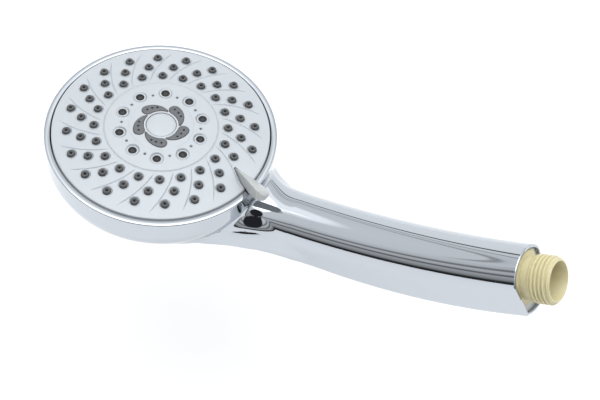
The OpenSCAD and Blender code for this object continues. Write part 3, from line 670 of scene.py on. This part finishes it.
def pad_outline(turn, grow):
    head = pad_half(PAD_HEAD_AT)
    centre = polar(PAD_IN + head, PAD_HEAD_AT)
    angles = [PAD_HEAD_AT - PAD_SWEEP + PAD_SWEEP * i / PAD_STEPS for i in range(PAD_STEPS + 1)]
    pts = [polar(PAD_IN + 2 * pad_half(a) + grow, a) for a in angles]
    for i in range(1, PAD_HEAD_STEPS):
        pts.append(centre + polar(head + grow, PAD_HEAD_AT + 180 * i / PAD_HEAD_STEPS))
    pts += [polar(PAD_IN - grow, a) for a in reversed(angles)]
    t = math.radians(turn)
    rot = np.array([[math.cos(t), -math.sin(t)], [math.sin(t), math.cos(t)]])
    return [tuple(rot @ p[:2]) for p in pts]


def on_lever(u, y):
    """A point u along the lever and y to its far side, as (x, y) on the face."""
    c, s = math.cos(LEVER_TURN), math.sin(LEVER_TURN)
    return LEVER_AT[0] + c * u - s * y, LEVER_AT[1] + s * u + c * y


def lever_outline(grow):
    """The lever's outline on the face, from its inner tip round the near side and back."""
    near = [(-0.6 - grow, -0.4), (7, -2.6), (14, -3.4), (LEVER_LEN, -2.6)]
    far = [(LEVER_LEN, 2.6), (14, 3.2), (7, 2.2), (-0.6 - grow, 0.4)]
    pts = [(u, y - grow) for u, y in near] + [(LEVER_LEN + 0.8 + grow, 0)]
    pts += [(u, y + grow) for u, y in far]
    return [on_lever(u, y) for u, y in pts]


RING_GROOVES = [(25.6, 0.45, 0.35), (14.5, 0.2, 0.1)]      # radius, half width and depth
PLATE_ROUND = 0.6
SKIRT_R, SKIRT_BASE = 46.8, -12.5


def groove_dip(r, at_r, half, depth):
    return depth * max(0.0, 1 - abs(r - at_r) / half)


def plate_profile():
    """Dome with its two ring grooves and a rounded edge, then the skirt, as a closed (r, z) loop."""
    rs = set(np.linspace(0, PLATE_R - PLATE_ROUND, 60).tolist())
    for c, half, _ in RING_GROOVES:
        rs |= {c - half, c - half / 2, c, c + half / 2, c + half}
    top = [(r, dome(r) - sum(groove_dip(r, *g) for g in RING_GROOVES)) for r in sorted(rs)]
    edge = dome(PLATE_R - PLATE_ROUND)
    rim = [(PLATE_R - 0.35, edge - 0.07), (PLATE_R - 0.12, edge - 0.25), (PLATE_R, edge - 0.55)]
    skirt = [(PLATE_R, SKIRT_BASE), (SKIRT_R, SKIRT_BASE), (SKIRT_R, PLATE_BASE), (0.0, PLATE_BASE)]
    loop = top + rim + skirt
    return loop[::-1]


ABOVE = 0.4             # how far a cutting tool stands above the dome
SPIRAL_IN, SPIRAL_OUT, SPIRAL_HALF, SPIRAL_DEPTH = 26.4, 46.4, 0.34, 0.36
SPIRAL_AT, SPIRAL_AT_R = 3.2, 30.07     # angle of the first groove, and the radius it has there
SPIRAL_SWING = -0.92                    # degrees for each millimetre of radius
SPIRAL_FADE, SPIRAL_TIP = 6, 0.1        # the ends taper over a sixth of the length, to a tenth


def spiral_cut(j, steps=40):
    """A thin V groove that swings from the ring groove to the edge, as a triangular prism."""
    v, f = [], []
    swing = math.radians(SPIRAL_SWING)
    for i in range(steps + 1):
        r = SPIRAL_IN + (SPIRAL_OUT - SPIRAL_IN) * i / steps
        a = math.radians(SPIRAL_AT + SPIRAL_SWING * (r - SPIRAL_AT_R) + SECTOR * j)
        p = np.array([r * math.cos(a), r * math.sin(a)])
        t = np.array([math.cos(a) - r * swing * math.sin(a), math.sin(a) + r * swing * math.cos(a)])
        t /= np.hypot(*t)
        ends = SPIRAL_FADE * min(i / steps, 1 - i / steps) + SPIRAL_TIP
        fade = min(1.0, ends)
        wide = np.array([-t[1], t[0]]) * SPIRAL_HALF * (1 + ABOVE / SPIRAL_DEPTH) * fade
        z = dome(r)
        v += [(*(p + wide), z + ABOVE), (*(p - wide), z + ABOVE), (*p, z - SPIRAL_DEPTH * fade)]
    for i in range(steps):
        a, b = 3 * i, 3 * i + 3
        for k in range(3):
            m = (k + 1) % 3
            f.append([a + k, a + m, b + m, b + k])
    f += [[2, 1, 0], [3 * steps, 3 * steps + 1, 3 * steps + 2]]
    return np.array(v), f


CUT_BASE, CUT_TOP = -8.0, 3.0           # cutting tools for the plate's holes run between these
NOZZLE_HOLE_R, JET_HOLE_R = 1.95, 2.76
NOZZLE_SEAT = (1.9, 2.7, 0.4)           # inner and outer radius of a seat's groove, and its depth
JET_SEAT = (2.6, 3.5, 0.3)


def ring_cut(r, a, seat):
    """Tool for the V groove round an outlet at radius r and angle a."""
    r_in, r_out, depth = seat
    z = dome(r)
    loop = [(r_in, z + ABOVE), ((r_in + r_out) / 2, z - depth), (r_out, z + ABOVE)]
    return at(lathe(loop, 28), polar(r, a))


def drill(r, a, hole_r, segments):
    """Tool for a straight hole through the plate."""
    loop = [(0, CUT_BASE), (hole_r, CUT_BASE), (hole_r, CUT_TOP), (0, CUT_TOP)]
    return at(lathe(loop, segments), polar(r, a))


def flared_drill(r, a, base, top, hole_r, mouth_r, sink, above):
    """Tool for a fine hole that widens to its mouth from sink under the top."""
    loop = [(0, base), (hole_r, base), (hole_r, top - sink), (mouth_r, top + above), (0, top + above)]
    return at(lathe(loop, 20), polar(r, a))


def build_plate():
    marks = [ring_cut(r, a, NOZZLE_SEAT) for r, a in NOZZLES]
    marks += [ring_cut(r, a, JET_SEAT) for r, a in JETS]
    holes = [drill(r, a, NOZZLE_HOLE_R, 28) for r, a in NOZZLES]
    holes += [drill(r, a, JET_HOLE_R, 36) for r, a in JETS]
    holes += [flared_drill(r, a, CUT_BASE, dome(r), 0.6, 0.85, 0.25, ABOVE) for r, a in MISTS]
    holes += [prism(pad_outline(a, 0.12), CUT_BASE, CUT_TOP) for a in PADS]
    cap_r = CAP_R + 0.25
    cap_seat = [(0, -3.9), (5.0, -3.9), (5.0, -1.2), (cap_r, -1.2), (cap_r, CUT_TOP), (0, CUT_TOP)]
    holes.append(lathe(cap_seat, 72))
    holes.append(prism(lever_outline(0.1), CUT_BASE, 2 * CUT_TOP))
    spirals = [spiral_cut(j) for j in range(20)]
    v, f = carve(*lathe(plate_profile(), 360), [join(marks), join(spirals), join(holes)])
    new_object("spray_face", v, f, MAT["plate"], "selector",
               angle=30, replaces=["face_plate"])


def nozzle(r, a):
    """A soft nozzle with a rounded tip that dips into its hole."""
    low = dome(r)
    tip = low + NOZZLE_RISE
    profile = [(0.5, PIECE_BASE), (NOZZLE_R, PIECE_BASE), (NOZZLE_R, low - 0.3), (1.78, low + 0.3)]
    profile += [(1.72, tip - 0.42), (1.6, tip - 0.16), (1.38, tip - 0.02), (1.2, tip)]
    profile += [(1.02, tip - 0.02), (0.84, tip - 0.12), (0.66, tip - 0.3), (0.56, tip - 0.55)]
    profile += [(0.5, tip - 0.8)]
    return at(lathe(profile, 32), polar(r, a))


def build_nozzles():
    v, f = join([nozzle(r, a) for r, a in NOZZLES])
    new_object("nozzles", v, f, MAT["nozzle"], "selector",
               angle=50, replaces=["nozzle_mat"])


def jet(r, a):
    """A jet's collar, whose rounded mouth lies just under the plate's surface."""
    base, top = PIECE_BASE + 0.1, dome(r) - 0.05
    profile = [(1.9, base), (JET_R, base), (JET_R, top - 0.15), (2.6, top - 0.03)]
    profile += [(2.48, top), (2.16, top), (2.0, top - 0.06), (1.9, top - 0.25)]
    return at(lathe(profile, 40), polar(r, a))


def jet_hole_shade(r, a):
    """A near-black piece just under a jet's mouth, which slopes down to its middle: painted shade for
    the dark depth of the hole.
    """
    base, top = PIECE_BASE + 0.2, dome(r)
    profile = [(0, base), (1.89, base), (1.89, top - 0.32), (1.4, top - 1.0), (0, top - 1.5)]
    return at(lathe(profile, 32), polar(r, a))


def build_jets():
    v, f = join([jet(r, a) for r, a in JETS])
    new_object("jets", v, f, MAT["plate"], "selector",
               angle=40, replaces=["jet_ring"])
    # the jets' near-black insides are painted shade that stands for the depth of the holes
    v, f = join([jet_hole_shade(r, a) for r, a in JETS])
    new_object("jet_hole_shades", v, f, MAT["dark"], "selector",
               angle=40, replaces=["jet_ring"])


PAD_TOP = DOME_TOP + 0.15
# from a pad's foot to its top: how much its outline grows, which is less than 0, and the height
PAD_LEVELS = [(-0.05, PIECE_BASE + 0.1), (-0.05, PAD_TOP - 0.35), (-0.12, PAD_TOP - 0.16)]
PAD_LEVELS += [(-0.28, PAD_TOP - 0.04), (-0.45, PAD_TOP)]


def build_pads():
    solids, holes = [], []
    for a in PADS:
        rings = [[(x, y, z) for x, y in pad_outline(a, grow)] for grow, z in PAD_LEVELS]
        solids.append(capped(np.array(rings)))
        for r, b in PAD_HOLES:
            holes.append(flared_drill(r, a + b, CUT_BASE - 1, PAD_TOP, 0.45, 0.75, 0.2, 0.3))
    v, f = carve(*join(solids), [join(holes)])
    new_object("comma_pads", v, f, MAT["pad"], "selector",
               angle=35, replaces=["massage_pads"])


def build_cap():
    """The round cap in the middle: a low crown on a disc with a thin ring under it."""
    base, foot = -1.1, -2.5
    profile = [(0, base), (4.3, base), (4.3, foot), (4.8, foot), (4.8, base), (CAP_R, base)]
    profile += [(CAP_R, 0.2), (6.6, 0.42), (6.35, 0.56), (5.0, 0.72), (2.5, 0.88), (0, 0.94)]
    v, f = lathe(profile, 96)
    new_object("cap", v, f, MAT["plate"], "selector",
               angle=30, replaces=["centre_cap"])


# the lever's shape along its length: (distance from the inner tip, value) pairs
LEVER_END = LEVER_LEN + 0.8
LEVER_NEAR = [(0, -0.25), (4, -1.5), (7, -2.4), (14, -3.3), (18, -3.0), (20, -2.1), (LEVER_END, -0.6)]
LEVER_FAR = [(0, 0.25), (4, 1.9), (7, 2.9), (14, 4.2), (18, 4.3), (19.6, 3.5), (20.5, 1.9)]
LEVER_FAR += [(LEVER_END, 0.6)]
LEVER_TOP = [(0, -2.1), (2, -0.6), (5, 1.5), (8, 2.75), (12, 3.5), (16, 3.4), (18.6, 2.5)]
LEVER_TOP += [(20, 1.1), (20.6, -0.1), (LEVER_END, -1.0)]
LEVER_LOW = [(0, -5.5), (8.7, -5.5), (9.2, -3.4), (LEVER_END, -3.4)]
LEVER_FOOT_RISE = [(0, 0), (17, 0), (LEVER_END, 0.9)]
LEVER_ROUND, LEVER_FALL = 0.45, 0.9     # the ridge's radius, and the power of the far slope


def along(table, u):
    return np.interp(u, *zip(*table))


def build_lever():
    """A fin with a steep near flank, a curved ridge and a far side that slopes down to the face."""
    us = np.concatenate([np.linspace(0, 18, 37), np.linspace(18.3, LEVER_END, 14)])
    rings = []
    for u in us:
        near, far = along(LEVER_NEAR, u), along(LEVER_FAR, u)
        top, low = along(LEVER_TOP, u), along(LEVER_LOW, u)
        r_here = math.hypot(*on_lever(u, 0))
        foot = max(dome(min(r_here, PLATE_R)) - 0.1, -3.2) + along(LEVER_FOOT_RISE, u)
        foot = min(foot, top - 0.3)
        r = min(LEVER_ROUND, (far - near) / 4, (top - low) / 3)
        ring = [(near, low), (far, low), (far, foot - 0.05), (far - 0.15, foot + 0.12)]
        for k in (0.3, 0.65, 0.9):
            ring.append((far + (near + r - far) * k, foot + (top - foot) * k**LEVER_FALL))
        ring += [(near + r * 0.75, top), (near + r * 0.3, top - r * 0.25), (near, top - r * 0.9)]
        rings.append([(*on_lever(u, y), z) for y, z in ring])
    v, f = capped(np.array(rings))
    new_object("lever", v, flipped(f), MAT["lever"], "selector",
               angle=24, replaces=["selector_lever"])


build_plate()
build_nozzles()
build_jets()
build_pads()
build_cap()
build_lever()

# ---- inlet ----
THREAD_R, ROOT_R, PITCH, MOUTH_R = 10.4775, 9.3, 1.814, 8.35
THREAD_FROM, THREAD_TO, THREAD_RINGS = 1.3, 12.4, 112
FIRST_TURN, TURNS = 2.2, 6              # where the helix starts along the axis, and its turns
CREST_HALF, FLANK = 0.44, 0.33          # of a ridge, as shares of the pitch
RUN_OUT = 0.6                           # share of a turn over which the helix starts and ends
TUBE_R, TUBE_BORE, TUBE_END = 5.6, 4.3, -15.0
ANGLES = np.linspace(0, 2 * math.pi, 128, endpoint=False)


def ring(radius, t):
    """Points round the inlet's axis at t along it; the radius may differ from point to point."""
    r = np.broadcast_to(radius, ANGLES.shape)
    return np.stack([r * np.cos(ANGLES), r * np.sin(ANGLES), np.full(len(ANGLES), float(t))], 1)


def thread_ring(t):
    """One ring of the helix, whose crest moves round as t grows."""
    phase = (t - FIRST_TURN) / PITCH - ANGLES / (2 * math.pi)
    local = phase - np.round(phase)
    ridge = smooth01((CREST_HALF - np.abs(local)) / FLANK)
    fade = clamp01(phase + RUN_OUT) * clamp01(TURNS - RUN_OUT - phase)
    return ring(ROOT_R + (THREAD_R - 0.02 - ROOT_R) * ridge * fade, t)


def build_inlet_thread():
    """The tube's outside with its thread, then the rounded mouth and the stepped bore."""
    rings = [ring(TUBE_R, TUBE_END), ring(TUBE_R, -6.8), ring(ROOT_R, -6.6), ring(ROOT_R, -0.7)]
    rings += [ring(ROOT_R, 0.5)]
    rings += [thread_ring(t) for t in np.linspace(THREAD_FROM, THREAD_TO, THREAD_RINGS)]
    rings += [ring(ROOT_R, OUT - 0.6), ring(ROOT_R - 0.12, OUT - 0.25)]
    rings += [ring(ROOT_R - 0.4, OUT - 0.04), ring(ROOT_R - 0.55, OUT)]
    rings += [ring(MOUTH_R + 0.15, OUT), ring(MOUTH_R, OUT - 0.2), ring(MOUTH_R, -3.0)]
    rings += [ring(MOUTH_R, -5.6), ring(MOUTH_R - 0.3, -5.8), ring(TUBE_BORE + 0.3, -5.8)]
    rings += [ring(TUBE_BORE, -6.1), ring(TUBE_BORE, TUBE_END)]
    v, f = stack(rings)
    new_object("inlet_thread", on_inlet(v), f, MAT["cream"], "handset",
               angle=40, replaces=["inlet_tube"])


FLANGE_R, FLANGE_HALF = 11.7, 9.6
FLANGE_LEVELS = [(0, -4.0), (0, -1.0), (0.08, -0.86), (0.25, -0.8)]     # inset, then height


def build_inlet_flange():
    """A disc behind the thread, cut flat on two sides."""
    cut = math.asin(FLANGE_HALF / FLANGE_R)
    arc = [(FLANGE_R * math.cos(a), FLANGE_R * math.sin(a)) for a in np.linspace(-cut, cut, 60)]
    outline = arc + [(-x, y) for x, y in reversed(arc)]
    rings = []
    for inset, t in FLANGE_LEVELS:
        share = 1 - inset / FLANGE_R
        rings.append([(x * share, y * share, t) for x, y in outline])
    v, f = capped(np.array(rings))
    new_object("inlet_flange", on_inlet(v), f, MAT["cream"], "handset",
               angle=35, replaces=["inlet_tube"])


WEB_INSET, WEB_FRONT, WEB_BACK = 1.32, 1.5, 2.9


def build_web():
    """The grey web that closes the handle's lower end round the inlet's flange."""
    outline = section_ring(0.0, WEB_INSET, 120)
    v, f = capped([place_section(outline, WEB_BACK), place_section(outline, WEB_FRONT)])
    new_object("end_web", v, f, MAT["web"], "handset",
               angle=30, replaces=["body_shell"])


build_inlet_thread()
build_inlet_flange()
build_web()

# ---- inner pieces keep their CAD shape ----
INNER = {
    "manifold": "inner", "divider": "dark", "rotor": "dark", "turbine": "inner",
    "tube_orings": "seal", "port_seal": "seal", "post_oring": "seal",
    "manifold_screws": "steel", "port_spring": "steel", "detent_ball": "steel", "detent_spring": "steel",
    "centre_screw": "steel", "screw_washer": "steel", "plate_screws": "steel",
}
for node, key in INNER.items():
    data = frame["nodes"][node].data
    data.materials.clear()
    data.materials.append(MAT[key])


# ---- stage ----
FLOOR_HALF = 6.0        # metres
FLOOR_DROP = 0.12       # the photo shows no shadow, so the floor lies this far under the object
FLOOR_WHITE = 0.88


def build_stage():
    floor = bpy.data.meshes.new("floor")
    z = float(cad_lo[2]) - FLOOR_DROP
    corners = [(-1, -1), (1, -1), (1, 1), (-1, 1)]
    floor.from_pydata([(x * FLOOR_HALF, y * FLOOR_HALF, z) for x, y in corners], [], [[0, 1, 2, 3]])
    m, t, b = material("floor_white", (FLOOR_WHITE,) * 3, 0.7)
    grain(t, b, 40, 0.0, (0.6, 0.8))
    floor.materials.append(m)
    o = bpy.data.objects.new("floor", floor)
    bpy.context.scene.collection.objects.link(o)


KEY_AT, KEY_AIM, KEY_SIZE, KEY_POWER = (-0.3, -0.2, 2.2), (-0.12, 0, -0.03), 2.0, 9


def build_key_light():
    d = bpy.data.lights.new("key", "AREA")
    d.shape, d.size, d.size_y = "RECTANGLE", KEY_SIZE, KEY_SIZE
    d.energy = KEY_POWER
    o = bpy.data.objects.new("key", d)
    o.location = KEY_AT
    o.rotation_euler = (Vector(KEY_AIM) - Vector(KEY_AT)).to_track_quat("-Z", "Y").to_euler()
    bpy.context.scene.collection.objects.link(o)


# The world's brightness by the sine of the elevation. Behind the object a white sweep is broken
# by three dark lines, which the chrome shows as streaks; in front of it a dark room has two.
# Both end in a bright ceiling.
SKY_BACK = [(0.0, 1.25), (0.40, 1.25), (0.435, 1.1), (0.44, 0.04), (0.468, 0.04), (0.475, 1.1)]
SKY_BACK += [(0.535, 1.05), (0.54, 0.45), (0.55, 0.45), (0.555, 1.0)]
SKY_BACK += [(0.60, 0.9), (0.605, 0.5), (0.615, 0.5), (0.62, 1.0)]
SKY_BACK += [(0.76, 1.05), (0.785, 1.6), (0.85, 1.6), (0.87, 2.8), (1.0, 2.8)]
SKY_FRONT = [(0.0, 0.02), (0.08, 0.05), (0.13, 0.34), (0.22, 0.52), (0.28, 0.60)]
SKY_FRONT += [(0.31, 0.20), (0.34, 0.20), (0.37, 0.66), (0.44, 0.78)]
SKY_FRONT += [(0.46, 0.30), (0.49, 0.30), (0.52, 0.80), (0.62, 1.0)]
SKY_FRONT += [(0.84, 1.05), (0.87, 2.9), (1.0, 2.9)]
SKY_TINT = (0.97, 0.985, 1.0)
BACK_WAY = (-0.38, 0.92, 0)             # the way that counts as behind the object
BACK_BLEND = (-0.05, 0.10)
PATCH_WAY = (0.303, -0.727, 0.616)      # the middle of the dark patch in front
PATCH_BLEND = (0.94, 0.95)
PATCH_COLOR = (0.03, 0.03, 0.035, 1)


def sky_ramp(nodes, links, z_socket, levels):
    """Brightness by the sine of the elevation."""
    ramp = nodes.new("ShaderNodeValToRGB")
    links.new(z_socket, ramp.inputs["Fac"])
    stops = ramp.color_ramp.elements
    while len(stops) < len(levels):
        stops.new(1.0)
    for stop, (at_z, level) in zip(stops, levels):
        stop.position = at_z
        stop.color = (*(level * c for c in SKY_TINT), 1)
    return ramp.outputs["Color"]


def toward(nodes, links, direction, way, blend):
    """How far a direction agrees with the given way, as 0 to 1 between the blend's two cosines."""
    dot = nodes.new("ShaderNodeVectorMath")
    dot.operation = "DOT_PRODUCT"
    links.new(direction, dot.inputs[0])
    dot.inputs[1].default_value = way
    share = nodes.new("ShaderNodeMapRange")
    share.inputs["From Min"].default_value, share.inputs["From Max"].default_value = blend
    links.new(dot.outputs["Value"], share.inputs["Value"])
    return share.outputs["Result"]


def build_world():
    w = bpy.data.worlds.new("studio")
    bpy.context.scene.world = w
    w.use_nodes = True
    n, l = w.node_tree.nodes, w.node_tree.links
    direction = n.new("ShaderNodeTexCoord").outputs["Generated"]
    xyz = n.new("ShaderNodeSeparateXYZ")
    l.new(direction, xyz.inputs["Vector"])
    sides = n.new("ShaderNodeMix")
    sides.data_type = "RGBA"
    l.new(toward(n, l, direction, BACK_WAY, BACK_BLEND), sides.inputs["Factor"])
    l.new(sky_ramp(n, l, xyz.outputs["Z"], SKY_FRONT), sides.inputs["A"])
    l.new(sky_ramp(n, l, xyz.outputs["Z"], SKY_BACK), sides.inputs["B"])
    patch = n.new("ShaderNodeMix")
    patch.data_type = "RGBA"
    l.new(toward(n, l, direction, PATCH_WAY, PATCH_BLEND), patch.inputs["Factor"])
    l.new(sides.outputs["Result"], patch.inputs["A"])
    patch.inputs["B"].default_value = PATCH_COLOR
    l.new(patch.outputs["Result"], n["Background"].inputs["Color"])
    n["Background"].inputs["Strength"].default_value = 1.0


LENS, SENSOR = 101.17, 36
CAMERA_AT = (0.05313, -0.41365, 0.56710)
CAMERA_RIGHT = (0.87983, 0.46979, 0.07206)
CAMERA_UP = (-0.41507, 0.68564, 0.59801)
CAMERA_BACK = (0.23153, -0.55606, 0.79824)


def build_camera():
    cam = bpy.data.cameras.new("camera")
    cam.lens, cam.sensor_width = LENS, SENSOR
    cam.clip_start, cam.clip_end = 0.01, 50
    o = bpy.data.objects.new("camera", cam)
    m = Matrix((CAMERA_RIGHT, CAMERA_UP, CAMERA_BACK)).transposed().to_4x4()
    m.translation = CAMERA_AT
    o.matrix_world = m
    bpy.context.scene.collection.objects.link(o)
    bpy.context.scene.camera = o


build_stage()
build_world()
build_key_light()
build_camera()
bpy.context.scene.view_settings.view_transform = "Standard"
